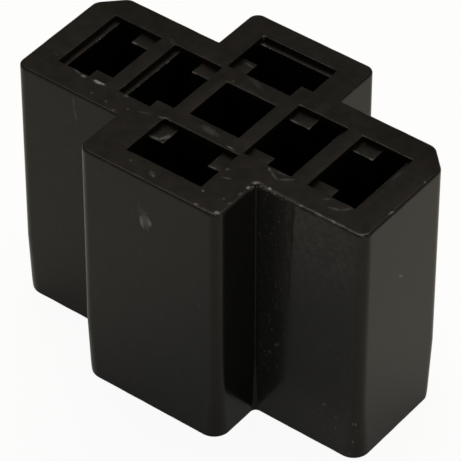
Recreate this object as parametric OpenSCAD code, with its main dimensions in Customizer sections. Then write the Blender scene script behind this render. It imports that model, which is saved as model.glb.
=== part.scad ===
// Connector block: a plug housing for push-on blade receptacles, moulded in one piece.
// A row of four cavities lies along X, with one more in the step in front of the row
// and one in the step behind it, around a square hole in the middle.
// The block stands on its mating face, and the terminals go in from the top.

/* [Terminal cavities] */
// Long side of a cavity
cavity_length = 8; // [7:0.1:9.5]
// Short side of a cavity
cavity_width = 5.2; // [4.6:0.1:6.5]
// Depth of the plain mouth above the ribs and the ledge
mouth_depth = 0.55; // [0.2:0.05:2]
// Size of a guide rib along the long side of its cavity
rib_length = 1.6; // [0.8:0.1:2.4]
// Size of a guide rib along the short side of its cavity
rib_width = 2.2; // [1:0.1:2.6]
// Projection of the latch ledge from the outer wall of its cavity
ledge_width = 0.55; // [0.2:0.05:1.2]
// Height of the latch ledge, down to the shoulder that holds a terminal
ledge_height = 9; // [4:0.5:14]
// Width of the lips at the two ends of a blade window, on which a terminal seats
seat_lip = 0.6; // [0.3:0.05:1.2]
// Run of the lead-in round a blade window at the mating face
lead_in = 0.4; // [0.1:0.05:0.8]

/* [Centre hole] */
// Side of the square hole in the middle
centre_size = 5.3; // [4:0.1:7]

/* [Walls] */
// Wall between neighbours in the row
row_web = 1.6; // [1:0.1:3]
// Wall between the ends of the cavities in the row and the cavity of a step
step_web = 0.55; // [0.4:0.05:3]
// Wall at the two ends of the row
end_wall = 2.75; // [1.5:0.05:5]
// Wall in front of the row and behind it
side_wall = 2.7; // [1.5:0.05:3.5]
// Outer wall of a step
step_wall = 2.35; // [1.5:0.05:5]
// Wall beside the cavity of the front step
front_cheek = 3.6; // [2:0.05:5]
// Wall beside the cavity of the rear step
rear_cheek = 2.7; // [2:0.05:5]
// Wall under the cavities, at the mating face
base_wall = 1.6; // [1:0.1:3]

/* [Outside] */
// Height from the mating face to the wire entry
body_height = 26.6; // [20:0.1:40]
// Leg of the polarising chamfers on the two rear corners of the row
key_chamfer = 2.2; // [1.2:0.1:3.5]
// Radius of the upright outer corners
corner_radius = 1; // [0.6:0.05:1.5]
// Radius of the upright inside corners beside the steps
root_radius = 0.25; // [0.2:0.05:1.2]
// Lean of the walls towards the mating face, which eases the plug into its socket
foot_taper = 0.25; // [0.05:0.05:0.45]
// Height over which the walls lean in
foot_height = 6.5; // [3:0.5:12]
// Break of the edges round the top and round the mating face
edge_break = 0.2; // [0.05:0.05:0.35]

/* [Hidden] */
$fn = 64;

// Overshoot of a cut past the face that it opens
cut = 1;

// Places of the cavities
near_x = centre_size / 2 + row_web + cavity_width / 2;
far_x = near_x + cavity_width + row_web;
step_y = cavity_length / 2 + step_web + cavity_width / 2;

// Half sizes of the outline
half_length = far_x + cavity_width / 2 + end_wall;
half_width = cavity_length / 2 + side_wall;
half_depth = step_y + cavity_width / 2 + step_wall;
half_front = cavity_length / 2 + front_cheek;
half_rear = cavity_length / 2 + rear_cheek;

// Shoulder under the latch ledge, and the part of a cavity that is clear of the ribs
shoulder_z = body_height - mouth_depth - ledge_height;
slot_width = cavity_width - rib_width;

// Each cavity as x, y and the turn that points its ledge away from the centre hole
cavities = [
    [-far_x, 0, 90],
    [-near_x, 0, 90],
    [near_x, 0, -90],
    [far_x, 0, -90],
    [0, -step_y, 180],
    [0, step_y, 0]
];

// Corners of the outline, anticlockwise from the left front one, with their radii
corners = [
    [[-half_length, -half_width], corner_radius],
    [[-half_front, -half_width], root_radius],
    [[-half_front, -half_depth], corner_radius],
    [[half_front, -half_depth], corner_radius],
    [[half_front, -half_width], root_radius],
    [[half_length, -half_width], corner_radius],
    [[half_length, half_width - key_chamfer], 0],
    [[half_length - key_chamfer, half_width], 0],
    [[half_rear, half_width], root_radius],
    [[half_rear, half_depth], corner_radius],
    [[-half_rear, half_depth], corner_radius],
    [[-half_rear, half_width], root_radius],
    [[key_chamfer - half_length, half_width], 0],
    [[-half_length, half_width - key_chamfer], 0]
];
corner_count = len(corners);

function corner(i) = corners[(i + corner_count) % corner_count][0];
function radius(i) = corners[i % corner_count][1];
function rounded(i) = radius(i) > 0;
function unit(v) = v / norm(v);
// Directions of the two sides that meet at a corner
function side_in(i) = unit(corner(i) - corner(i - 1));
function side_out(i) = unit(corner(i + 1) - corner(i));
// Turn of the outline at a corner: positive at an outer corner, negative at an inside one
function turn(i) = let (a = side_in(i), b = side_out(i)) atan2(cross(a, b), a * b);
function tangent_run(i) = radius(i) * tan(abs(turn(i)) / 2);
function arc_start(i) = corner(i) - side_in(i) * tangent_run(i);
function arc_end(i) = corner(i) + side_out(i) * tangent_run(i);
function arc_centre(i) =
    corner(i) + unit(side_out(i) - side_in(i)) * radius(i) / cos(abs(turn(i)) / 2);

// Direction from the centre of a corner's arc to the start of the arc
function start_angle(i) = let (v = arc_start(i) - arc_centre(i)) atan2(v[1], v[0]);
// Length that a cut along a side runs past a corner, so that it is mitred at a sharp one
function overrun(i) = rounded(i) ? 0 : cut;

// Outline of the block with its rounded corners
module outline() {
    difference() {
        union() {
            polygon([for (i = [0:corner_count - 1]) each [arc_start(i), arc_end(i)]]);
            for (i = [0:corner_count - 1])
                if (turn(i) > 0 && rounded(i)) translate(arc_centre(i)) circle(radius(i));
        }
        for (i = [0:corner_count - 1])
            if (turn(i) < 0) translate(arc_centre(i)) circle(radius(i));
    }
}

// Sections of the waste outside an edge, with the sharp edge at the origin
// and the material at -X and -Y

// Section at the top, where the edge is only broken
module edge_waste() {
    over = edge_break / 2;
    polygon([[-edge_break - over, over], [over, -edge_break - over], [over, over]]);
}

// Section at the mating face, where the wall leans in before the broken edge
module foot_waste() {
    over = edge_break / 2;
    lean = foot_taper / foot_height;
    wall_x = edge_break * lean - foot_taper;
    polygon([
        [wall_x - edge_break - over, over],
        [wall_x, -edge_break],
        [over, -foot_height - over / lean],
        [over, over]
    ]);
}

// Waste round the upper edge of the outline, on the plane Z = 0, with the given section
module rim_waste() {
    for (i = [0:corner_count - 1]) {
        run = arc_start((i + 1) % corner_count) - arc_end(i);
        translate(arc_end(i) - side_out(i) * overrun(i))
            rotate(atan2(run[1], run[0]))
                rotate([90, 0, 90])
                    linear_extrude(overrun(i) + norm(run) + overrun(i + 1))
                        mirror([1, 0]) children();
        if (rounded(i))
            translate(arc_centre(i))
                rotate(start_angle(i))
                    rotate_extrude(angle = turn(i))
                        translate([radius(i), 0])
                            mirror([turn(i) > 0 ? 0 : 1, 0]) children();
    }
}

// Section of a cavity below its mouth: a slot for the receptacle, with a narrower stem
// for the crimp between the two guide ribs. The ledge lies at +Y.
module shaft_section() {
    stem_length = cavity_length - 2 * rib_length;
    translate([-cavity_length / 2, rib_width - cavity_width / 2])
        square([cavity_length, slot_width - ledge_width]);
    translate([-stem_length / 2, -cavity_width / 2])
        square([stem_length, cavity_width - ledge_width]);
}

// Lead-in round a window of the given size, widest at the mating face
module lead_in_cut(length, width) {
    top = lead_in;
    deep = -cut;
    intersection() {
        rotate([90, 0, 0])
            linear_extrude(2 * length, center = true)
                polygon([
                    [-length / 2, top],
                    [-length / 2 - lead_in - cut, deep],
                    [length / 2 + lead_in + cut, deep],
                    [length / 2, top]
                ]);
        rotate([90, 0, 90])
            linear_extrude(2 * length, center = true)
                polygon([
                    [-width / 2, top],
                    [-width / 2 - lead_in - cut, deep],
                    [width / 2 + lead_in + cut, deep],
                    [width / 2, top]
                ]);
    }
}

// Window for the mating blade, which runs on as the pocket under the latch ledge
module blade_window() {
    window_length = cavity_length - 2 * seat_lip;
    translate([-window_length / 2, rib_width - cavity_width / 2, -cut])
        cube([window_length, slot_width, shoulder_z + cut]);
    translate([0, rib_width / 2, 0])
        lead_in_cut(window_length, slot_width);
}

// Space of one terminal cavity
module cavity() {
    translate([-cavity_length / 2, -cavity_width / 2, body_height - mouth_depth])
        cube([cavity_length, cavity_width, mouth_depth + cut]);
    translate([0, 0, base_wall])
        linear_extrude(body_height - base_wall)
            shaft_section();
    blade_window();
}

module housing() {
    color([0.07, 0.065, 0.06])
        difference() {
            linear_extrude(body_height) outline();
            translate([0, 0, body_height]) rim_waste() edge_waste();
            mirror([0, 0, 1]) rim_waste() foot_waste();
            for (c = cavities)
                translate([c[0], c[1], 0]) rotate(c[2]) cavity();
            translate([-centre_size / 2, -centre_size / 2, -cut])
                cube([centre_size, centre_size, body_height + 2 * cut]);
        }
}

housing();
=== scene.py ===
"""Looks of the connector block: one black moulding with six terminal cavities, on a pale table."""

import math

import bpy
import numpy as np
from mathutils import Matrix, Vector
from mathutils.geometry import delaunay_2d_cdt


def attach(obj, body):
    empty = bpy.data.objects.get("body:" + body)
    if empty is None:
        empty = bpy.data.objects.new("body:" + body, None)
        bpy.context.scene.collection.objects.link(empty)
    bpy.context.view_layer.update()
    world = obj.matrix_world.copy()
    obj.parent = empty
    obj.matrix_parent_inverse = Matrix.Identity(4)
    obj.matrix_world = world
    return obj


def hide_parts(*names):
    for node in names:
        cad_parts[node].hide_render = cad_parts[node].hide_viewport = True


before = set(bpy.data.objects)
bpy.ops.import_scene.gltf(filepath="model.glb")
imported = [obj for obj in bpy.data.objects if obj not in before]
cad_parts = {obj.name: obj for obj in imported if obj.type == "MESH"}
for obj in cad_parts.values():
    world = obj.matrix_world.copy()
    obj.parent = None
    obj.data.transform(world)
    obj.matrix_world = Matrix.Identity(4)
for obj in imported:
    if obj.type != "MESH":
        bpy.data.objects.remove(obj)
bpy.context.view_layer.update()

# Sizes of the block in millimetres, as its solid has them
MM = 0.001
BODY_HEIGHT = 26.6
HALF_LENGTH, HALF_WIDTH, HALF_DEPTH = 19.0, 6.7, 12.1
HALF_FRONT, HALF_REAR = 7.6, 6.7
KEY_CHAMFER, CORNER_RADIUS = 2.2, 1.0
CAVITY_LENGTH, CAVITY_WIDTH, MOUTH_DEPTH = 8.0, 5.2, 0.55
RIB_LENGTH, RIB_WIDTH, LEDGE_WIDTH, SEAT_LIP = 1.6, 2.2, 0.55, 0.6
LEDGE_BOTTOM, BASE_WALL, LEAD_IN = 17.05, 1.6, 0.4
CENTRE_SIZE = 5.3
NEAR_X, FAR_X, STEP_Y = 6.85, 13.65, 7.15

# Upright edges of the key chamfers and of the inside corners, rounder or finer than in the solid
KEY_RADIUS, ROOT_RADIUS = 1.2, 0.07

# Rounding of the other edges, how uneven it is, and the number of steps over an edge
TOP_EDGE, FOOT_EDGE, RIM_EDGE, LIP_EDGE = 0.22, 0.12, 0.12, 0.1
TOP_UNEVEN, FOOT_UNEVEN, RIM_UNEVEN = 0.02, 0.02, 0.035
EDGE_MARGIN, SHELF_MARGIN = 0.12, 0.1
EDGE_STEPS = 6

# What wear adds to the top edge, and the rounding at the head of the groove with its reach
WORN_ROUNDING, WORN_UNEVEN = 0.08, 0.03
HEAD_ROUNDING, HEAD_REACH = 0.25, 0.7

# Upright corners near the mating face: how much they grow, over which heights, and in which shares
CORNER_GROWTH, ROOT_GROWTH, KEY_GROWTH = 0.65, 0.48, 0.6
FOOT_HEIGHT, FOOT_ROUND = 6.5, 1.2
EVEN_SHARE, LATE_SHARE = 0.85, 0.15

# Layout of the mesh: levels on the outer wall, spacings in millimetres, and steps round corners
WALL_LEVELS = np.array([
    0.4, 0.6, 0.8, 1.0, 1.2, 2.0, 3.5, 5.0, 6.0, 6.5, 7.0, 8.0, 10.5, 13.5, 16.5, 19.5, 22.5,
])
OUTLINE_SPACING, CAVITY_SPACING, COLUMN_SLIP = 0.14, 0.4, 0.3
ARC_STEPS, KEY_STEPS, CENTRE_STEPS = 14, 7, 13
WELD_CELL, WELD_OFFSET = 3.7e-4, 0.137
SHARP_ANGLE = 38

# Unevenness: number of sine waves in it, and a seed for each edge
RIPPLE_SINES = 14
TOP_SEED, FOOT_SEED, CENTRE_SEED, CAVITY_SEED = 3, 5, 40, 50

# Wear on the rims of the cavities and on the lips below them, and a lighter grey low on the
# mouth walls and on the lips
RIM_WEAR, LIP_WEAR = 0.3, 0.2
MOUTH_FILM, LIP_FILM = 1.8, 1.1

# Colours of the plastic and of what lies on it, in linear light
SOILED = (0.0026, 0.0028, 0.0018, 1), (0.0048, 0.0034, 0.0027, 1)
WIPED = (0.002, 0.002, 0.002, 1), (0.007, 0.007, 0.0065, 1)
MOUTH_GREY = (0.012, 0.0115, 0.01, 1)
GROOVE_HAZE = (0.0135, 0.0145, 0.0145, 1)
MOTTLED = (0.03, 0.031, 0.028, 1)
DUST_FILM = (0.024, 0.025, 0.025, 1)
DUST_STREAK = (0.035, 0.035, 0.033, 1)
DULLED = (0.006, 0.006, 0.0055, 1)
# Pale colour of rounded outer corners and partway round the edge rounds: partly rubbing wear,
# partly painted sheen
RUBBED_AND_SHEEN = (0.018, 0.0175, 0.016, 1)
DUST_SPECK = (0.3, 0.29, 0.27, 1)
# pale of bare scuffs, also given to the few painted highlights
SCUFF_AND_HIGHLIGHT = (0.168, 0.173, 0.17, 1)

# Frame of the photograph in pixels, and the camera's sensor in millimetres
FRAME_PIXELS, SENSOR_WIDTH = 461, 36.0

# Each cavity: place of its middle, and the turn that points its latch ledge outwards
CAVITIES = [
    (-FAR_X, 0.0, 90), (-NEAR_X, 0.0, 90), (NEAR_X, 0.0, -90), (FAR_X, 0.0, -90),
    (0.0, -STEP_Y, 180), (0.0, STEP_Y, 0),
]

# Where handling has worn the top edge: x, y, reach along the edge, and strength
WORN_STRETCHES = np.array([
    (7.6, -12.1, 2.2, 0.9), (7.6, -6.7, 2.2, 0.8), (10.0, -6.7, 2.0, 0.7),
    (15.0, -6.7, 2.6, 0.75), (19.0, -6.7, 1.4, 0.6), (19.0, -2.0, 1.2, 0.5),
])

# Burrs and scratches on the top face, with one painted highlight: ends of a line in x and y,
# its width and its strength
TOP_SCUFFS_AND_HIGHLIGHTS = np.array([
    # beside the two left cavities
    (-14.9, -3.97, -13.4, -4.35, 0.12, 0.25), (-13.4, -4.34, -12.95, -4.42, 0.2, 0.5),
    (-12.1, -4.27, -11.0, -4.18, 0.27, 1.1), (-17.2, -3.35, -16.6, -3.6, 0.15, 0.06),
    (-11.2, -5.7, -11.1, -5.7, 0.16, 0.18), (-9.5, -5.85, -9.4, -5.85, 0.16, 0.18),
    (-8.2, -6.39, -8.1, -6.35, 0.18, 0.22), (-7.34, -5.5, -7.25, -5.5, 0.15, 0.18),
    (-6.53, -5.27, -5.07, -4.73, 0.1, 0.12), (-10.3, 4.3, -9.6, 4.0, 0.25, 0.05),
    (-8.6, -4.25, -8.4, -4.2, 0.18, 0.25),
    # on the webs round the middle hole
    (-0.64, -3.39, 0.9, -3.55, 0.5, 0.13), (-4.55, -4.75, -3.65, -4.33, 0.16, 0.24),
    (2.4, -4.2, 3.45, -4.2, 0.13, 0.35), (-1.65, 4.46, 0.62, 3.62, 0.35, 0.06),
    (-2.47, 3.07, -2.2, 3.05, 0.14, 0.15),
    # on the front step
    (4.68, -7.73, 5.43, -7.39, 0.16, 0.18), (4.42, -6.63, 4.5, -6.55, 0.22, 0.15),
    (-0.5, -10.8, -0.05, -11.1, 0.28, 0.13), (-0.1, -11.08, 0.0, -11.14, 0.17, 0.35),
    (4.45, -10.07, 4.55, -10.07, 0.16, 0.3), (-2.85, -10.66, -2.8, -10.66, 0.12, 0.2),
    (6.4, -9.75, 6.6, -9.8, 0.12, 0.25),
    # beside the two right cavities
    (7.2, -4.36, 7.4, -4.45, 0.17, 0.32), (7.4, -4.5, 8.66, -5.08, 0.2, 0.14),
    # the second line here is a painted highlight along the cavity's front rim, not a scuff
    (8.66, -5.08, 9.85, -4.12, 0.2, 0.16), (7.7, -4.3, 9.2, -4.12, 0.16, 0.1),
    (14.12, -5.29, 15.32, -4.94, 0.2, 0.15), (15.32, -4.94, 15.79, -4.2, 0.22, 0.15),
    (13.2, -4.7, 13.75, -4.3, 0.16, 0.12), (16.35, 0.5, 16.4, 2.6, 0.14, 0.1),
    (18.75, 2.29, 18.85, 2.29, 0.14, 0.5), (18.75, -2.88, 18.85, -2.3, 0.14, 0.5),
    # bright points of the worn edge
    (7.3, -6.62, 7.5, -6.45, 0.18, 0.9), (7.26, -7.5, 7.32, -7.25, 0.18, 0.75),
    (7.24, -8.6, 7.28, -8.2, 0.14, 0.22), (7.24, -10.2, 7.26, -9.8, 0.14, 0.18),
    (8.78, -6.42, 8.88, -6.42, 0.22, 1.0), (5.0, -11.8, 5.25, -11.75, 0.18, 0.4),
    (7.0, -11.6, 7.2, -11.5, 0.22, 0.7), (12.15, -6.52, 12.3, -6.52, 0.18, 0.45),
    (13.85, -6.5, 14.45, -6.5, 0.18, 0.3), (15.5, -6.5, 15.7, -6.5, 0.18, 0.45),
    (16.4, -6.42, 16.7, -6.42, 0.16, 0.22), (18.35, -6.42, 18.55, -6.38, 0.18, 0.25),
])

# Scuffs on ribs and walls, with three painted highlights: ends of a line, its width and its
# strength
SHELF, FRONT, ROW_FRONT, END = BODY_HEIGHT - MOUTH_DEPTH, -HALF_DEPTH, -HALF_WIDTH, HALF_LENGTH
WALL_SCUFFS_AND_HIGHLIGHTS = [
    ((4.35, 2.42, SHELF), (5.35, 2.42, SHELF), 0.15, 0.35),
    ((6.35, 2.42, SHELF), (6.6, 2.5, SHELF), 0.16, 0.4),
    ((11.1, 2.42, SHELF), (11.85, 2.42, SHELF), 0.15, 0.22),
    ((12.8, 2.42, SHELF), (13.3, 2.42, SHELF), 0.16, 0.36),
    ((-3.85, -6.7, SHELF), (-3.0, -6.55, SHELF), 0.25, 0.23),
    ((-3.0, -6.55, SHELF), (-2.5, -5.5, SHELF), 0.27, 0.28),
    ((2.48, -6.7, SHELF), (3.2, -6.72, SHELF), 0.2, 0.3),
    ((-3.4, 6.3, SHELF), (-2.45, 6.2, SHELF), 0.2, 0.14),
    ((-3.95, 9.25, SHELF), (-3.3, 9.2, SHELF), 0.2, 0.25),
    # painted highlights, not scuffs: pale tips of the ribs in the two left cavities, and a pale
    # upright line in the rear left corner of the rear cavity's mouth
    ((-6.35, 2.42, SHELF), (-6.0, 2.4, SHELF), 0.17, 0.35),
    ((-13.2, 2.45, SHELF), (-12.75, 2.5, SHELF), 0.18, 0.35),
    ((-3.98, 9.7, SHELF + 0.1), (-3.98, 9.7, BODY_HEIGHT - 0.1), 0.2, 0.55),
    ((-0.66, FRONT, 22.34), (-0.48, FRONT, 21.2), 0.3, 1.1),
    ((0.15, FRONT, 22.3), (0.32, FRONT, 21.85), 0.34, 0.95),
    ((-0.3, FRONT, 22.85), (-0.08, FRONT, 21.55), 0.6, 0.42),
    ((-0.88, FRONT, 23.5), (-0.78, FRONT, 22.5), 0.3, 0.14),
    ((-12.45, ROW_FRONT, 26.2), (-12.41, ROW_FRONT, 24.97), 0.2, 0.25),
    ((-12.41, ROW_FRONT, 24.97), (-12.07, ROW_FRONT, 23.42), 0.2, 0.25),
    ((10.18, ROW_FRONT, 9.41), (9.8, ROW_FRONT, 9.1), 0.2, 0.35),
    ((9.32, ROW_FRONT, 7.99), (9.1, ROW_FRONT, 8.0), 0.2, 0.35),
    ((15.2, ROW_FRONT, 5.1), (15.4, ROW_FRONT, 5.12), 0.18, 0.35),
    ((12.8, ROW_FRONT, 24.4), (12.85, ROW_FRONT, 24.35), 0.15, 0.25),
    ((14.4, ROW_FRONT, 23.4), (14.5, ROW_FRONT, 23.38), 0.15, 0.22),
    ((END, -1.35, 18.58), (END, -0.85, 18.22), 0.2, 1.0),
]


def ripple(along, length, seed, waves=(7, 60)):
    """Uneven run of an edge: a sum of sine waves that close on themselves over the length,
    each with its own whole number of waves and its own phase; it stays near -1 to 1."""
    draw = np.random.default_rng(seed)
    number = draw.integers(*waves, RIPPLE_SINES)
    phase = draw.uniform(0, 2 * np.pi, RIPPLE_SINES)
    turns = 2 * np.pi * np.outer(along / length, number) + phase
    return np.sin(turns).sum(1) / math.sqrt(RIPPLE_SINES / 2) / 2


def top_film(x, y):
    """Film of dust and handling on the top face: full at the ends and in front, thinner round the
    middle and at the rear, and thinnest on the two rear corners of the row."""
    behind = np.clip((y - 2) / 4, 0, 1)
    aside = np.clip((np.abs(x) - 7) / 5, 0, 1)
    middle = np.clip(1.3 - np.hypot(x, y) / 9, 0, 1)
    return 1 - np.clip(0.35 * middle + behind * (0.35 + 0.6 * aside), 0, 1)


def outline_corners(growth):
    """Corners of the outline, anticlockwise from the left front one, each with its radius. Radii
    and key chamfers grow with the growth, which is 0 on the body and 1 at the mating face."""
    length, width, key = HALF_LENGTH, HALF_WIDTH, KEY_CHAMFER + growth * KEY_GROWTH
    front, rear, depth = HALF_FRONT, HALF_REAR, HALF_DEPTH
    outer, root = CORNER_RADIUS + growth * CORNER_GROWTH, ROOT_RADIUS + growth * ROOT_GROWTH
    blunt = KEY_RADIUS
    return np.array([
        (-length, -width, outer), (-front, -width, root), (-front, -depth, outer),
        (front, -depth, outer), (front, -width, root), (length, -width, outer),
        (length, width - key, blunt), (length - key, width, blunt), (rear, width, root),
        (rear, depth, outer), (-rear, depth, outer), (-rear, width, root),
        (key - length, width, blunt), (-length, width - key, blunt),
    ])


def outline_path(growth=0.0):
    """Outline of the block, anticlockwise: straight runs joined by arcs that touch them both.
    An arc of radius r that turns by the angle t starts r tan(t/2) before its corner, and its
    points lie r from its centre along the outward direction, which turns evenly. The number of
    points stays the same for every growth. With the points and their outward directions come the
    bend, which is 1 on the arcs of outer corners, -1 on those of inside corners and 0 between,
    the way along the outline to each point, and the whole length."""
    rows, plain = outline_corners(growth), outline_corners(0.0)[:, :2]
    runs = np.linalg.norm(np.roll(plain, -1, 0) - plain, axis=1)
    pieces = np.maximum(2, np.ceil(runs / OUTLINE_SPACING)).astype(int)
    corner, radius = rows[:, :2], rows[:, 2]
    side = np.roll(corner, -1, 0) - corner
    leave = side / np.linalg.norm(side, axis=1, keepdims=True)
    arrive = np.roll(leave, 1, 0)
    across = arrive[:, 0] * leave[:, 1] - arrive[:, 1] * leave[:, 0]
    turn = np.arctan2(across, (arrive * leave).sum(1))
    run = (radius * np.tan(np.abs(turn) / 2))[:, None]
    start, end = corner - arrive * run, corner + leave * run
    inward = np.stack([-arrive[:, 1], arrive[:, 0]], 1)
    centre = start + inward * (radius * np.sign(turn))[:, None]
    heading = np.arctan2(-inward[:, 1], -inward[:, 0])
    points, outward, bend = [], [], []
    for i in range(len(rows)):
        steps = ARC_STEPS if abs(turn[i]) > 1 else KEY_STEPS
        angle = heading[i] + turn[i] * np.linspace(0, 1, steps + 1)
        ray = np.stack([np.cos(angle), np.sin(angle)], 1)
        points.append(centre[i] + np.sign(turn[i]) * radius[i] * ray)
        outward.append(ray)
        bend.append(np.full(len(ray), np.sign(turn[i])))
        ahead = start[(i + 1) % len(rows)]
        part = np.linspace(0, 1, pieces[i] + 1)[1:-1, None]
        points.append(end[i] + (ahead - end[i]) * part)
        outward.append(np.repeat(ray[-1:], len(part), 0))
        bend.append(np.zeros(len(part)))
    points, outward, bend = (np.concatenate(v) for v in (points, outward, bend))
    hops = np.linalg.norm(np.roll(points, -1, 0) - points, axis=1)
    return points, outward, bend, np.concatenate([[0], np.cumsum(hops)[:-1]]), hops.sum()


def outer_skin():
    """Outer wall: an upright profile carried round the outline. The profile comes off the mating
    face by a quarter round, climbs the wall, and goes over a quarter round onto the top face. The
    top quarter round is r (1 - cos a) in from the wall and r (1 - sin a) below the top, and r
    grows where the edge is worn and at the head of the groove. Towards the mating face the
    upright corners grow rounder: mostly in step with the height, and for the rest with the square
    of the nearness to the face. The edge value rises over the top edge, most where it is worn.
    Inside corners are matt like the top face, and outer corners half as matt."""
    points, outward, bend, along, length = outline_path()
    spread = outline_path(1.0)[0] - points
    gap = np.linalg.norm(points[:, None] - WORN_STRETCHES[None, :, :2], axis=2)
    worn = (WORN_STRETCHES[:, 3] * np.exp(-(gap / WORN_STRETCHES[:, 2]) ** 2)).max(1)
    groove = np.linalg.norm(points - (HALF_FRONT, -HALF_WIDTH), axis=1)
    uneven = (TOP_UNEVEN + WORN_UNEVEN * worn) * ripple(along, length, TOP_SEED)
    top = TOP_EDGE + WORN_ROUNDING * worn + uneven
    top = top + HEAD_ROUNDING * np.exp(-(groove / HEAD_REACH) ** 2)
    foot = FOOT_EDGE + FOOT_UNEVEN * ripple(along, length, FOOT_SEED)
    angle = np.radians(np.linspace(0, 90, EDGE_STEPS + 1))[:, None]
    low, high = foot + EDGE_MARGIN, BODY_HEIGHT - top - EDGE_MARGIN
    rows = np.concatenate([low[None], WALL_LEVELS[:, None] + 0 * low, high[None]])
    inset = np.concatenate([
        (foot + EDGE_MARGIN)[None], foot * (1 - np.cos(angle[::-1])),
        0 * rows, top * (1 - np.cos(angle)), (top + EDGE_MARGIN)[None],
    ])
    height = np.concatenate([
        0 * foot[None], foot * (1 - np.sin(angle[::-1])),
        rows, BODY_HEIGHT - top * (1 - np.sin(angle)),
        0 * top[None] + BODY_HEIGHT,
    ])
    even, late = (np.clip(1 - height / reach, 0, None) for reach in (FOOT_HEIGHT, FOOT_ROUND))
    share = EVEN_SHARE * even + LATE_SHARE * late ** 2
    plan = points[None] + spread[None] * share[:, :, None] - outward[None] * inset[:, :, None]
    grid = np.concatenate([plan, height[:, :, None]], 2)
    under = np.zeros((EDGE_STEPS + 2 + len(rows), 1))
    over = np.sin(2 * angle) * 0.6 + 0.4
    edge = np.concatenate([under * worn, over * (0.25 + 0.4 * worn), 0 * worn[None]])
    # outer corners, at half matt, take the painted sheen in the material
    side = np.where(bend < 0, 1.0, 0.5 * bend)[None]
    matt = np.concatenate([under + side, np.maximum(np.sin(angle), side), 1 + 0 * side])
    return grid, edge, matt, top_film(grid[:, :, 0], grid[:, :, 1])


def cavity_columns():
    """Upright columns round one cavity, anticlockwise from the middle of its ribbed side. Each row
    gives a point of the mouth, throat, pocket and blade window, with the directions in which the
    mouth, the throat's lip and the window widen. Between rows every loop is straight, so columns
    in between come from straight mixing. Where one loop turns a corner, the next one slips on a
    little, so that no face between them is without width."""
    a, b, d = CAVITY_LENGTH / 2, CAVITY_WIDTH / 2, COLUMN_SLIP
    s, q, e, w, r = a - RIB_LENGTH, RIB_WIDTH - b, b - LEDGE_WIDTH, a - SEAT_LIP, LIP_EDGE
    half = np.array([
        # mouth, its way out; throat, its way out, lip; pocket; window, its way out
        (0, -b, 0, -1, 0, -b, 0, 0, 0, 0, -b, 0, q, 0, -1),
        (s, -b, 0, -1, s, -b, 0, 0, 0, s, -b, s - d, q, 0, -1),
        (s + r, -b, 0, -1, s, -b, 1, 0, 1, s, -b, s - d, q, 0, -1),
        (a, -b, 1, -1, s, q, 1, -1, 1, s, q, s, q, 0, -1),
        (a, (q - b) / 2, 1, 0, w, q, 0, -1, 1, w, q, w, q, 1, -1),
        (a, q - r, 1, 0, a, q, 0, -1, 1, a, q, w, q + d, 1, 0),
        (a, q, 1, 0, a, q, 0, 0, 0, a, q, w, q + d, 1, 0),
        (a, e, 1, 0, a, e, 0, 0, 0, a, e, w, e - d, 1, 0),
        (a, e + r, 1, 0, a, e, 0, 1, 1, a, e, w, e - d, 1, 0),
        (a, b, 1, 1, w, e, 0, 1, 1, w, e, w, e, 1, 0),
        (w, b, 0, 1, w - d, e, 0, 1, 1, w, b, w, b, 1, 1),
        (0, b, 0, 1, 0, e, 0, 1, 1, 0, b, 0, b, 0, 1),
    ])
    flip = np.ones(half.shape[1])
    flip[[0, 2, 4, 6, 9, 11, 13]] = -1
    rows = np.concatenate([half, half[-2:0:-1] * flip])
    ahead = np.roll(rows, -1, 0)
    loops = [(0, 1), (4, 5), (9, 10), (11, 12)]
    hop = np.max([np.linalg.norm(ahead[:, p] - rows[:, p], axis=1) for p in loops], 0)
    parts = np.maximum(1, np.ceil(hop / CAVITY_SPACING)).astype(int)
    which = np.repeat(np.arange(len(rows)), parts)
    first = np.repeat(np.cumsum(parts) - parts, parts)
    share = ((np.arange(parts.sum()) - first) / parts[which])[:, None]
    return rows[which] * (1 - share) + ahead[which] * share


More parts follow.
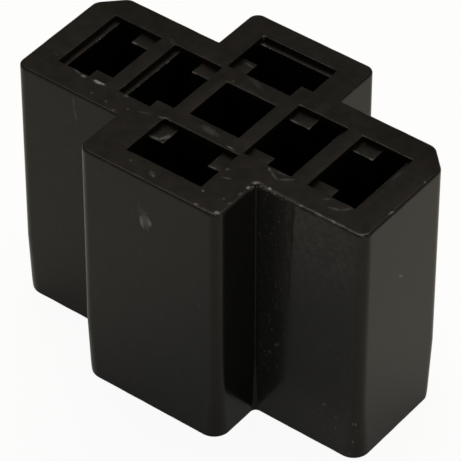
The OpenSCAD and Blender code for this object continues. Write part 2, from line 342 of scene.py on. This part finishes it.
def cavity_skin(x, y, turn, seed):
    """Wall of one cavity: its columns carried down through all its loops. From the top: the mouth's
    rim as a quarter round, the mouth's wall, the shelf of ribs and ledge with a quarter round
    lip, the throat, the pocket under the ledge, the seat, the blade window and its lead-in."""
    c = cavity_columns()
    mouth, mouth_out, throat, throat_out = c[:, 0:2], c[:, 2:4], c[:, 4:6], c[:, 6:8]
    lip, pocket, window, window_out = c[:, 8], c[:, 9:11], c[:, 11:13], c[:, 13:15]
    count = len(c)
    rim = RIM_EDGE + RIM_UNEVEN * ripple(np.arange(count), count, seed, (2, 17))
    angle = np.radians(np.linspace(90, 0, EDGE_STEPS))
    loops, heights = [], []
    for v in angle:
        loops.append(mouth + mouth_out * (rim * (1 - math.cos(v)))[:, None])
        heights.append(BODY_HEIGHT - rim * (1 - math.sin(v)))
    for level in (SHELF + SHELF_MARGIN, SHELF):
        loops.append(mouth)
        heights.append(np.full(count, level))
    for v in angle:
        loops.append(throat + throat_out * (lip * LIP_EDGE * (1 - math.cos(v)))[:, None])
        fall = np.where(lip > 0.5, 1 - math.sin(v), float(v == angle[-1]))
        heights.append(SHELF - LIP_EDGE * fall)
    below = [
        (throat, LEDGE_BOTTOM), (pocket, LEDGE_BOTTOM), (pocket, BASE_WALL), (window, BASE_WALL),
        (window, LEAD_IN), (window + LEAD_IN * window_out, 0.0),
    ]
    for loop, level in below:
        loops.append(loop)
        heights.append(np.full(count, level))
    plan = np.array(loops)
    cos, sin = math.cos(math.radians(turn)), math.sin(math.radians(turn))
    grid = np.stack([
        x + cos * plan[:, :, 0] - sin * plan[:, :, 1],
        y + sin * plan[:, :, 0] + cos * plan[:, :, 1], np.array(heights),
    ], 2)
    edge = np.zeros((len(loops), count))
    rims, lips = np.arange(EDGE_STEPS), np.arange(EDGE_STEPS) + EDGE_STEPS + 2
    over = RIM_WEAR * np.sin(2 * angle)[:, None]
    edge[rims] = over
    edge[lips] = (LIP_WEAR + over) * lip
    film = np.zeros_like(edge)
    film[rims] = top_film(grid[rims, :, 0], grid[rims, :, 1])
    film[EDGE_STEPS] = MOUTH_FILM
    film[lips] = LIP_FILM
    return grid, edge, np.ones_like(edge), film


def centre_skin(seed):
    """Wall of the square hole in the middle: a square carried down from a quarter round rim at the
    top to another at the mating face."""
    h = CENTRE_SIZE / 2
    knots = np.array([(-h, -h, -1, -1), (h, -h, 1, -1), (h, h, 1, 1), (-h, h, -1, 1)])
    share = np.arange(0, 1, 1 / CENTRE_STEPS)[None, :, None]
    c = (knots[:, None] * (1 - share) + np.roll(knots, -1, 0)[:, None] * share).reshape(-1, 4)
    rim = RIM_EDGE + RIM_UNEVEN * ripple(np.arange(len(c)), len(c), seed, (2, 15))
    angle = np.radians(np.linspace(90, 0, EDGE_STEPS))[:, None]
    spread = np.concatenate([rim * (1 - np.cos(angle)), rim * (1 - np.cos(angle[::-1]))])
    drop = rim * (1 - np.sin(angle))
    height = np.concatenate([BODY_HEIGHT - drop, drop[::-1]])
    plan = c[None, :, :2] + c[None, :, 2:] * spread[:, :, None]
    grid = np.concatenate([plan, height[:, :, None]], 2)
    edge = np.zeros(height.shape)
    edge[1:len(angle)] = RIM_WEAR * np.sin(2 * angle[1:])
    film = np.ones_like(edge)
    film[len(angle):] = 0
    return grid, edge, np.ones_like(edge), film


def grid_faces(rings, columns):
    """Four-sided faces of a grid whose columns close on themselves."""
    ring, column = np.meshgrid(np.arange(rings - 1), np.arange(columns), indexing="ij")
    ahead = (column + 1) % columns
    near, far = ring * columns, (ring + 1) * columns
    return np.stack([near + column, near + ahead, far + ahead, far + column], -1).reshape(-1, 4)


def inside(spots, loop):
    """Which spots lie in a closed loop: a ray from such a spot crosses the loop an odd number of
    times."""
    ahead = np.roll(loop, -1, 0)
    x, y = spots[:, 0:1], spots[:, 1:2]
    low, high = loop[:, 1] <= y, ahead[:, 1] <= y
    rise = np.where(ahead[:, 1] == loop[:, 1], 1, ahead[:, 1] - loop[:, 1])
    at = loop[:, 0] + (y - loop[:, 1]) / rise * (ahead[:, 0] - loop[:, 0])
    return ((low != high) & (x < at)).sum(1) % 2 == 1


def on_face(spots, loops):
    """Which spots lie inside the first loop and outside the others."""
    keep = inside(spots, loops[0])
    for loop in loops[1:]:
        keep &= ~inside(spots, loop)
    return keep


def scuff_axes():
    """Middle, direction and half sizes of the scuffs and the painted highlight on the top face."""
    start, end, width = TOP_SCUFFS_AND_HIGHLIGHTS[:, 0:2], TOP_SCUFFS_AND_HIGHLIGHTS[:, 2:4], TOP_SCUFFS_AND_HIGHLIGHTS[:, 4]
    run = end - start
    length = np.linalg.norm(run, axis=1)
    return (start + end) / 2, run / length[:, None], np.stack([length / 2 + width, width], 1)


def scuff_spots():
    """Points for the face's triangles to follow the scuffs and the painted highlight: a small grid
    over each, turned with it and a little larger than the mark."""
    middle, way, size = scuff_axes()
    grid = np.meshgrid(np.linspace(-1.7, 1.7, 15), np.linspace(-1.7, 1.7, 9))
    u, v = (g.ravel() for g in grid)
    across = np.stack([-way[:, 1], way[:, 0]], 1)
    spots = (middle[:, None] + way[:, None] * (u * size[:, :1])[:, :, None]
             + across[:, None] * (v * size[:, 1:])[:, :, None])
    return spots.reshape(-1, 2)


def scuff_nearness(spots):
    """How near each point is to the marks of the top face, scuffs and one painted highlight: 1.5 on
    a mark's middle and 0 at one and a half times its half sizes, and the strength of the nearest
    mark."""
    middle, way, size = scuff_axes()
    reach = spots[:, None, :2] - middle[None]
    along = (reach * way).sum(2) / size[:, 0]
    across = (reach[:, :, 1] * way[:, 0] - reach[:, :, 0] * way[:, 1]) / size[:, 1]
    sunk = (BODY_HEIGHT - spots[:, 2:3]) / size[:, 1]
    near = np.clip(1.5 - np.sqrt(along ** 2 + across ** 2 + sunk ** 2), 0, None)
    return near.max(1), TOP_SCUFFS_AND_HIGHLIGHTS[np.argmax(near, 1), 5] * (near.max(1) > 0)


def flat_face(loops, level, upward, more):
    """Flat face at one level, inside the first loop and outside the others: Delaunay triangles on
    the points of the loops and on more points between them, kept where their middle lies on the
    face, and turned to face up or down."""
    loops = [loop[:, :2] for loop in loops]
    spots = np.concatenate(loops + [more[on_face(more, loops)]])
    counts = [len(loop) for loop in loops]
    edges = np.concatenate([
        np.stack([np.arange(n), np.roll(np.arange(n), -1)], 1) + start
        for n, start in zip(counts, np.cumsum([0] + counts))
    ])
    made = delaunay_2d_cdt([Vector(p) for p in spots], edges.tolist(), [], 0, 1e-7)
    back = np.array([ids[0] for ids in made[3]])
    faces = back[np.array(made[2])]
    faces = faces[on_face(spots[faces].mean(1), loops)]
    one, two, three = (spots[faces[:, k]] for k in range(3))
    p, q = two - one, three - one
    rightly = (p[:, 0] * q[:, 1] > p[:, 1] * q[:, 0]) == upward
    faces = np.where(rightly[:, None], faces, faces[:, ::-1])
    return np.concatenate([spots, np.full((len(spots), 1), level)], 1), faces


def weld(patches):
    """One closed skin from all patches: points that fall together become one, faces that lose a
    side become triangles, and faces that lose their area are left out."""
    spots = np.concatenate([p[0] for p in patches])
    marks = np.concatenate([p[2] for p in patches])
    start = np.cumsum([0] + [len(p[0]) for p in patches])
    cell = np.round(spots / WELD_CELL + WELD_OFFSET).astype(np.int64)
    _, first, joined = np.unique(cell, axis=0, return_index=True, return_inverse=True)
    joined = joined.ravel()
    kept = np.zeros((len(first), marks.shape[1]))
    np.maximum.at(kept, joined, marks)
    quads, trios = (
        joined[np.concatenate([p[1] + n for p, n in zip(patches, start) if p[1].shape[1] == sides])]
        for sides in (4, 3)
    )
    same = quads == np.roll(quads, -1, 1)
    crossed = (quads[:, 0] == quads[:, 2]) | (quads[:, 1] == quads[:, 3])
    whole = quads[(same.sum(1) == 0) & ~crossed]
    single = (same.sum(1) == 1) & ~crossed
    halved = [np.roll(quads[single & same[:, k]], -k, 1)[:, 1:] for k in range(4)]
    return spots[first], whole, np.concatenate([trios] + halved), kept


def housing_mesh():
    """The whole moulding as one closed mesh: outer skin, cavities, middle hole, top and mating
    face, with the values of edge, matt, film, and scuffs with a painted highlight at its points."""
    skins = [outer_skin(), centre_skin(CENTRE_SEED)]
    skins += [cavity_skin(*cavity, CAVITY_SEED + i) for i, cavity in enumerate(CAVITIES)]
    patches = []
    for grid, edge, matt, film in skins:
        marks = np.stack([edge.ravel(), matt.ravel(), film.ravel()], 1)
        patches.append((grid.reshape(-1, 3), grid_faces(*grid.shape[:2]), marks))
    tops = [skins[0][0][-1]] + [s[0][0] for s in skins[1:]]
    feet = [skins[0][0][0]] + [s[0][-1] for s in skins[1:]]
    sides = [(tops, BODY_HEIGHT, True, scuff_spots()), (feet, 0.0, False, np.zeros((0, 2)))]
    for loops, level, upward, more in sides:
        spots, faces = flat_face(loops, level, upward, more)
        film = top_film(spots[:, 0], spots[:, 1])
        patches.append((spots, faces, np.stack([0 * film, 1 + 0 * film, film], 1)))
    spots, quads, trios, marks = weld(patches)
    mesh = bpy.data.meshes.new("housing_skin")
    mesh.from_pydata(spots * MM, [], quads.tolist() + trios.tolist())
    near, strength = scuff_nearness(spots)
    values_of = {"edge": marks[:, 0], "matt": marks[:, 1], "film": marks[:, 2],
                 "scuff": near, "scuff_and_highlight_strength": strength}
    for name, values in values_of.items():
        layer = mesh.attributes.new(name, "FLOAT", "POINT")
        layer.data.foreach_set("value", values.astype(np.float32))
    mesh.polygons.foreach_set("use_smooth", np.ones(len(mesh.polygons), bool))
    mesh.update()
    mesh.set_sharp_from_angle(angle=math.radians(SHARP_ANGLE))
    return mesh


def add(tree, kind, feeds=None, **settings):
    """Adds one node, with its settings, its plain values and the links that feed it."""
    made = tree.nodes.new(kind)
    for name, value in settings.items():
        setattr(made, name, value)
    for name, value in (feeds or {}).items():
        if isinstance(value, bpy.types.NodeSocket):
            tree.links.new(value, made.inputs[name])
        else:
            made.inputs[name].default_value = value
    return made


def maths(tree, operation, *values, clamp=False):
    """Result of one sum on plain values."""
    feeds = dict(enumerate(values))
    made = add(tree, "ShaderNodeMath", feeds, operation=operation, use_clamp=clamp)
    return made.outputs[0]


def product(tree, first, *others):
    """All the values multiplied together."""
    for value in others:
        first = maths(tree, "MULTIPLY", first, value)
    return first


def vectors(tree, operation, *values):
    """Results of one sum on vectors: a vector and a value."""
    return add(tree, "ShaderNodeVectorMath", dict(enumerate(values)), operation=operation).outputs


def scaled(tree, vector, factor):
    """A vector or a colour times one value."""
    feeds = {0: vector, "Scale": factor}
    return add(tree, "ShaderNodeVectorMath", feeds, operation="SCALE").outputs[0]


def ramp(tree, value, low, high, bottom=0.0, top=1.0):
    """Smooth step of a value from one level to another."""
    return add(tree, "ShaderNodeMapRange", {
        "Value": value, "From Min": low, "From Max": high, "To Min": bottom, "To Max": top,
    }, interpolation_type="SMOOTHSTEP").outputs["Result"]


def noise(tree, place, per_mm, detail=2.0, rough=0.5):
    """Soft noise round 0.5, with so many waves to the millimetre."""
    return add(tree, "ShaderNodeTexNoise", {
        "Vector": place, "Scale": per_mm, "Detail": detail, "Roughness": rough}).outputs["Fac"]


def blend(tree, share, first, second):
    """Colour between two colours."""
    return add(tree, "ShaderNodeMix", {0: share, 6: first, 7: second}, data_type="RGBA").outputs[2]


def seen_straight(tree, ray):
    """Whether a ray comes from the camera, straight or through glass."""
    return maths(tree, "MAXIMUM", ray.outputs["Is Camera Ray"], ray.outputs["Is Transmission Ray"])


def group_of(name, inputs, outputs):
    """Empty shader group with named sockets, and the sockets at its two ends."""
    tree = bpy.data.node_groups.new(name, "ShaderNodeTree")
    for label, kind in inputs:
        tree.interface.new_socket(label, in_out="INPUT", socket_type="NodeSocket" + kind)
    for label in outputs:
        tree.interface.new_socket(label, in_out="OUTPUT", socket_type="NodeSocketFloat")
    given, out = tree.nodes.new("NodeGroupInput"), tree.nodes.new("NodeGroupOutput")
    return tree, given.outputs, out.inputs


def scuff_and_highlight_mark():
    """Group: mask of one mark, most of them scuffs and a few painted highlights. Its place, turn
    and size carry it into a space where it is a ball of radius 1: full near the middle, nothing at
    the rim, with a shared noise that frays it."""
    tree, given, out = group_of("scuff_and_highlight_mark", [
        ("Place", "Vector"), ("Fray", "Float"), ("Middle", "Vector"), ("Turn", "Vector"),
        ("Size", "Vector"), ("Strength", "Float")], ["Mask"])
    ball = add(tree, "ShaderNodeMapping", {
        "Vector": given["Place"], "Location": given["Middle"], "Rotation": given["Turn"],
        "Scale": given["Size"]}, vector_type="TEXTURE").outputs[0]
    frayed = maths(tree, "ADD", vectors(tree, "LENGTH", ball)[1], given["Fray"])
    mask = product(tree, ramp(tree, frayed, 1.0, 0.3), given["Strength"])
    tree.links.new(mask, out["Mask"])
    return tree


def scuff_shape(start, end, width):
    """Middle, turn and half sizes of a mark along the line from one point to another."""
    start, run = Vector(start), Vector(end) - Vector(start)
    turn = run.to_track_quat("X", "Z").to_euler()
    return {"Middle": start + run / 2, "Turn": turn, "Size": (run.length / 2 + width, width, width)}


def dust_specks():
    """Group: mask of dust. Some cells of a Voronoi pattern hold one speck near their middle; the
    cell's random colour says which ones do, and how large the speck is."""
    tree, given, out = group_of("dust_specks", [
        ("Place", "Vector"), ("Per mm", "Float"), ("Share", "Float"), ("Size", "Float")], ["Mask"])
    pattern = {"Vector": given["Place"], "Scale": given["Per mm"]}
    cells = add(tree, "ShaderNodeTexVoronoi", pattern).outputs
    chance = add(tree, "ShaderNodeSeparateColor", {"Color": cells["Color"]}).outputs
    size = product(tree, given["Size"], maths(tree, "MULTIPLY_ADD", chance["Green"], 1.0, 0.4))
    near = ramp(tree, maths(tree, "DIVIDE", cells["Distance"], size), 1.0, 0.4)
    held = maths(tree, "LESS_THAN", chance["Red"], given["Share"])
    tree.links.new(product(tree, near, held), out["Mask"])
    return tree


def worn_edge():
    """Group: mask of worn edges. The edge value, raised and lowered by a broad and a fine noise, is
    cut off at a level, so that wear comes in specks and broken lines."""
    tree, given, out = group_of("worn_edge", [("Place", "Vector"), ("Edge", "Float")], ["Mask"])
    broad = maths(tree, "MULTIPLY_ADD", noise(tree, given["Place"], 0.8), 0.8, -0.4)
    fine = maths(tree, "MULTIPLY_ADD", noise(tree, given["Place"], 5.0, 2.0, 0.6), 2.0, -1.0)
    level = maths(tree, "ADD", given["Edge"], maths(tree, "ADD", broad, fine))
    tree.links.new(ramp(tree, level, 0.62, 1.0), out["Mask"])
    return tree


def moulding_grain():
    """Group: height of the fine grain that the mould leaves, broad cloudy patches round 0, and
    small blotches from 0 to 1."""
    tree, given, out = group_of("moulding_grain", [("Place", "Vector"), ("Per mm", "Float")],
                                ["Height", "Cloud", "Blotch"])
    tree.links.new(noise(tree, given["Place"], given["Per mm"], 3.0, 0.6), out["Height"])
    cloud = maths(tree, "MULTIPLY_ADD", noise(tree, given["Place"], 0.22, 3.0, 0.55), 2.0, -1.0)
    tree.links.new(cloud, out["Cloud"])
    blotch = ramp(tree, noise(tree, given["Place"], 0.9, 3.0, 0.6), 0.3, 0.7)
    tree.links.new(blotch, out["Blotch"])
    return tree


def groove_wall():
    """Group: masks of the wall beside the front step, which fade in and out between places in
    millimetres. The groove is the strip next to the step, with upright streaks of dust; a film of
    dust thickens towards the foot, where specks lie; the side of the step has a faint haze; the
    wall past the groove is mottled near the top; and the patch above the middle is where handling
    has dulled it, up to a slanting, uneven side."""
    names = ["Groove", "Streak", "Film", "Foot", "Patch", "Side", "Mottle"]
    tree, given, out = group_of("groove_wall", [("Place", "Vector")], names)
    place = given["Place"]
    x, y, z = add(tree, "ShaderNodeSeparateXYZ", {"Vector": place}).outputs
    off_wall = maths(tree, "ABSOLUTE", maths(tree, "SUBTRACT", y, ROW_FRONT))
    off_step = maths(tree, "ABSOLUTE", maths(tree, "SUBTRACT", x, HALF_FRONT))
    wall, step = ramp(tree, off_wall, 0.5, 0.2), ramp(tree, off_step, 0.3, 0.1)
    past_step = ramp(tree, x, 7.4, 8.2)
    groove = product(tree, wall, past_step, ramp(tree, x, 12.0, 10.0))

    tall = vectors(tree, "MULTIPLY", place, (1, 1, 0.35))[0]
    streak = ramp(tree, noise(tree, tall, 4.5, 3.0, 0.6), 0.56, 0.72)
    low_film = product(tree, ramp(tree, z, 8.0, 1.0), past_step)
    groove_film = product(tree, groove, ramp(tree, z, 15.0, 6.0, 0.0, 0.4))
    in_front = ramp(tree, y, ROW_FRONT, ROW_FRONT - 0.3)
    cloud = ramp(tree, noise(tree, place, 1.7, 3.0, 0.65), 0.3, 0.74)
    upper, past_groove = ramp(tree, z, 15.5, 23.5), ramp(tree, x, 10.4, 11.6)
    near_foot, far_right = ramp(tree, z, 8.0, 4.5), ramp(tree, x, 12.0, 15.0)

    slant = maths(tree, "MULTIPLY_ADD", z, -0.05, x)
    slant = maths(tree, "MULTIPLY_ADD", noise(tree, place, 1.3, 2.0, 0.6), 0.5, slant)
    across = product(tree, ramp(tree, x, 8.6, 10.6), ramp(tree, slant, 10.8, 10.64))
    taller = vectors(tree, "MULTIPLY", place, (1, 1, 0.15))[0]
    uneven = ramp(tree, noise(tree, taller, 5.0, 2.0, 0.6), 0.4, 0.6, 0.15, 1.0)

    masks = {
        "Groove": groove,
        "Streak": product(tree, groove, streak),
        "Film": product(tree, wall, maths(tree, "MAXIMUM", low_film, groove_film)),
        "Foot": product(tree, wall, near_foot, far_right),
        "Patch": product(tree, wall, across, ramp(tree, z, 12.5, 17.0), uneven),
        "Side": product(tree, step, in_front, 0.35),
        "Mottle": product(tree, wall, upper, past_groove, cloud),
    }
    for name, mask in masks.items():
        tree.links.new(mask, out[name])
    return tree


def black_plastic():
    """Black nylon from a polished mould: near black, glossy on its sides and dull on the top face,
    with dust, pale worn edges, and the scuffs and burrs of use. Its rounded corners and edge
    rounds carry a pale colour, partly rubbing and partly painted sheen, and a few pale marks are
    painted highlights."""
    made = bpy.data.materials.new("black_plastic")
    made.use_nodes = True
    tree = made.node_tree
    tree.nodes.clear()

    def use(group, **values):
        feeds = {name.replace("_", " "): value for name, value in values.items()}
        return add(tree, "ShaderNodeGroup", feeds, node_tree=group).outputs

    def mark_of(name):
        return add(tree, "ShaderNodeAttribute", attribute_name=name).outputs["Fac"]

    place = scaled(tree, add(tree, "ShaderNodeTexCoord").outputs["Object"], 1 / MM)
    matt, film = mark_of("matt"), mark_of("film")
    grain = use(moulding_grain(), Place=place, Per_mm=7.0)
    worn = use(worn_edge(), Place=place, Edge=mark_of("edge"))["Mask"]

    # Scuffs and a few painted highlights: those of the top face from the mesh's own values, the
    # others one by one
    fray = maths(tree, "MULTIPLY_ADD", noise(tree, place, 4.5, 3.0, 0.65), 1.4, -0.7)
    frayed = ramp(tree, maths(tree, "SUBTRACT", mark_of("scuff"), fray), 0.5, 1.2)
    scuffs_and_highlights = product(tree, frayed, mark_of("scuff_and_highlight_strength"))
    mark = scuff_and_highlight_mark()
    for start, end, width, strength in WALL_SCUFFS_AND_HIGHLIGHTS:
        shape = scuff_shape(start, end, width)
        one = use(mark, Place=place, Fray=fray, Strength=strength, **shape)["Mask"]
        scuffs_and_highlights = maths(tree, "MAXIMUM", one, scuffs_and_highlights)
    pale = maths(tree, "MAXIMUM", product(tree, worn, 0.7), scuffs_and_highlights)

    # Dust: fine and coarse specks, fewer where it is matt, and dashes in the groove and at its foot
    beside = use(groove_wall(), Place=place)
    specks = dust_specks()
    fine = use(specks, Place=place, Per_mm=2.6, Share=0.55, Size=0.2)["Mask"]
    coarse = use(specks, Place=place, Per_mm=1.1, Share=0.2, Size=0.14)["Mask"]
    tall = vectors(tree, "MULTIPLY", place, (1, 1, 0.4))[0]
    dashes = use(specks, Place=tall, Per_mm=3.4, Share=0.5, Size=0.3)["Mask"]
    dusty = maths(tree, "MAXIMUM", product(tree, fine, 0.04), product(tree, coarse, 0.09))
    dusty = product(tree, dusty, maths(tree, "MULTIPLY_ADD", matt, -0.8, 1.0, clamp=True))
    settled = product(tree, beside["Foot"], 0.42)
    settled = maths(tree, "MULTIPLY_ADD", beside["Groove"], 0.32, settled)
    dusty = maths(tree, "MAXIMUM", dusty, product(tree, dashes, settled))

    # Colour: the cloudy plastic, and one layer after the other on it
    soiled, wiped = (blend(tree, grain["Blotch"], *pair) for pair in (SOILED, WIPED))
    cloudy = maths(tree, "MULTIPLY_ADD", grain["Cloud"], 0.5, 1.0)
    colour = scaled(tree, blend(tree, matt, wiped, soiled), cloudy)
    layers = [
        # film above 1 gives the lower mouth walls and the lips a lighter grey
        (maths(tree, "SUBTRACT", film, 1.0, clamp=True), MOUTH_GREY),
        (beside["Groove"], GROOVE_HAZE), (beside["Side"], GROOVE_HAZE), (beside["Mottle"], MOTTLED),
        (beside["Film"], DUST_FILM), (beside["Streak"], DUST_STREAK), (beside["Patch"], DULLED),
        # painted sheen, partly rubbing wear, on rounded outer corners and partway round the edge
        # rounds; the pale layer after it also holds a few painted highlights
        (maths(tree, "PINGPONG", matt, 0.5), RUBBED_AND_SHEEN), (dusty, DUST_SPECK), (pale, SCUFF_AND_HIGHLIGHT),
    ]
    for share, layer in layers:
        colour = blend(tree, share, colour, layer)

    # Roughness: more on the film of the top face, on clouds, on the dulled patch and on scuffs
    top = add(tree, "ShaderNodeMapRange", {"Value": film, "To Max": 0.12}).outputs["Result"]
    top = maths(tree, "MULTIPLY_ADD", grain["Blotch"], 0.05, top)
    dull = maths(tree, "MULTIPLY_ADD", matt, top, 0.18)
    dull = maths(tree, "MULTIPLY_ADD", grain["Cloud"], 0.06, dull)
    dull = maths(tree, "MULTIPLY_ADD", beside["Patch"], 0.35, dull)
    dull = maths(tree, "MULTIPLY_ADD", pale, 0.3, dull, clamp=True)
    relief = maths(tree, "MULTIPLY_ADD", pale, 1.5, grain["Height"])
    bump = add(tree, "ShaderNodeBump", {
        "Height": relief, "Strength": 0.35, "Distance": 0.015 * MM})
    shader = add(tree, "ShaderNodeBsdfPrincipled", {
        "Base Color": colour, "Roughness": dull, "Normal": bump.outputs["Normal"], "IOR": 1.32,
        "Specular Tint": (1.0, 0.95, 0.87, 1),
    })
    add(tree, "ShaderNodeOutputMaterial", {"Surface": shader.outputs["BSDF"]})
    return made


def pale_table():
    """White table with painted shade: greyer and cooler close in front of the block, warmer farther
    out. It also takes the block's soft shadow, and looks white to the eye."""
    made = bpy.data.materials.new("pale_table")
    made.use_nodes = True
    tree = made.node_tree
    tree.nodes.clear()
    ray = add(tree, "ShaderNodeLightPath")
    place = add(tree, "ShaderNodeTexCoord").outputs["Object"]
    # Painted shade: the table's colour turns greyer and cooler towards a point just in front of the
    # block
    out_of_painted_shade = ramp(tree, vectors(tree, "DISTANCE", place, (0.006, -0.018, 0))[1], 0.004, 0.028)
    painted_shade_tint = blend(tree, out_of_painted_shade, (0.345, 0.37, 0.383, 1), (0.625, 0.602, 0.53, 1))
    paint = add(tree, "ShaderNodeBsdfDiffuse", {"Color": painted_shade_tint})
    white = add(tree, "ShaderNodeEmission", {"Color": (1, 1, 1, 1), "Strength": 1.04})
    shown = product(tree, seen_straight(tree, ray), 0.9)
    shown = maths(tree, "MULTIPLY_ADD", ray.outputs["Is Glossy Ray"], 0.2, shown)
    mixed = add(tree, "ShaderNodeMixShader", {
        0: shown, 1: paint.outputs["BSDF"], 2: white.outputs["Emission"]})
    add(tree, "ShaderNodeOutputMaterial", {"Surface": mixed.outputs["Shader"]})
    return made


def pale_studio():
    """Surroundings: a weak, warm light from all sides, which look white to the eye."""
    made = bpy.data.worlds.new("studio")
    made.use_nodes = True
    tree = made.node_tree
    tree.nodes.clear()
    ray = add(tree, "ShaderNodeLightPath")
    glow = add(tree, "ShaderNodeBackground", {"Color": (1, 0.92, 0.82, 1), "Strength": 0.22})
    white = add(tree, "ShaderNodeBackground", {"Color": (1, 1, 1, 1), "Strength": 1.0})
    mixed = add(tree, "ShaderNodeMixShader", {
        0: seen_straight(tree, ray), 1: glow.outputs["Background"], 2: white.outputs["Background"]})
    add(tree, "ShaderNodeOutputWorld", {"Surface": mixed.outputs["Shader"]})
    return made


def camera_at(azimuth, elevation, roll, aim, shift, distance, focal):
    """Camera whose back points from the aim along the azimuth and elevation, at a distance in
    millimetres; shift moves it along its own right and up, in millimetres too; the focal length
    is in pixels of the photograph's frame."""
    az, el, ro = (math.radians(v) for v in (azimuth, elevation, roll))
    back = Vector((math.sin(az) * math.cos(el), -math.cos(az) * math.cos(el), math.sin(el)))
    level = Vector((0, 0, 1)).cross(back).normalized()
    above = back.cross(level)
    right = level * math.cos(ro) + above * math.sin(ro)
    up = above * math.cos(ro) - level * math.sin(ro)
    place = Vector(aim) + right * shift[0] + up * shift[1] + back * distance
    data = bpy.data.cameras.new("photo_camera")
    data.sensor_fit = "HORIZONTAL"
    data.sensor_width = SENSOR_WIDTH
    data.lens = focal / FRAME_PIXELS * SENSOR_WIDTH
    data.clip_start, data.clip_end = 0.01, 20.0
    made = bpy.data.objects.new("photo_camera", data)
    turn = Matrix((right, up, back)).transposed().to_4x4()
    made.matrix_world = Matrix.Translation(place * MM) @ turn
    bpy.context.scene.collection.objects.link(made)
    bpy.context.scene.camera = made


def soft_lamp(name, direction, distance, size, energy, colour):
    """Square lamp that faces the middle of the block from the given direction."""
    data = bpy.data.lights.new(name, "AREA")
    data.shape, data.size = "SQUARE", size
    data.energy, data.color = energy, colour
    made = bpy.data.objects.new(name, data)
    toward = Vector(direction).normalized()
    made.location = toward * distance + Vector((0, 0, 0.013))
    made.rotation_euler = toward.to_track_quat("Z", "Y").to_euler()
    bpy.context.scene.collection.objects.link(made)


# Camera at the photograph's angle
camera_at(azimuth=37.436, elevation=41.77, roll=0.061, aim=(0, 0, 13.309),
          shift=(-0.203, -0.592), distance=337.014, focal=3780.17)

# The moulding
housing = bpy.data.objects.new("housing_moulding", housing_mesh())
bpy.context.scene.collection.objects.link(housing)
housing.data.materials.append(black_plastic())
even = housing.modifiers.new("even_shading", "WEIGHTED_NORMAL")
even.keep_sharp = True
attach(housing, "root")
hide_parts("housing")

# Table, a hair below the block, with the lamp and the surroundings
LOW, REACH = -0.02 * MM, 3
table_mesh = bpy.data.meshes.new("table_top")
table_mesh.from_pydata(
    [(-REACH, -REACH, LOW), (REACH, -REACH, LOW), (REACH, REACH, LOW), (-REACH, REACH, LOW)],
    [], [(0, 1, 2, 3)])
table = bpy.data.objects.new("table_top", table_mesh)
table.data.materials.append(pale_table())
bpy.context.scene.collection.objects.link(table)

soft_lamp("soft_box", direction=(-0.1, 0.15, 1.0), distance=0.6, size=0.4, energy=2.6,
          colour=(1.0, 0.95, 0.87))
bpy.context.scene.world = pale_studio()
bpy.context.scene.view_settings.view_transform = "Standard"
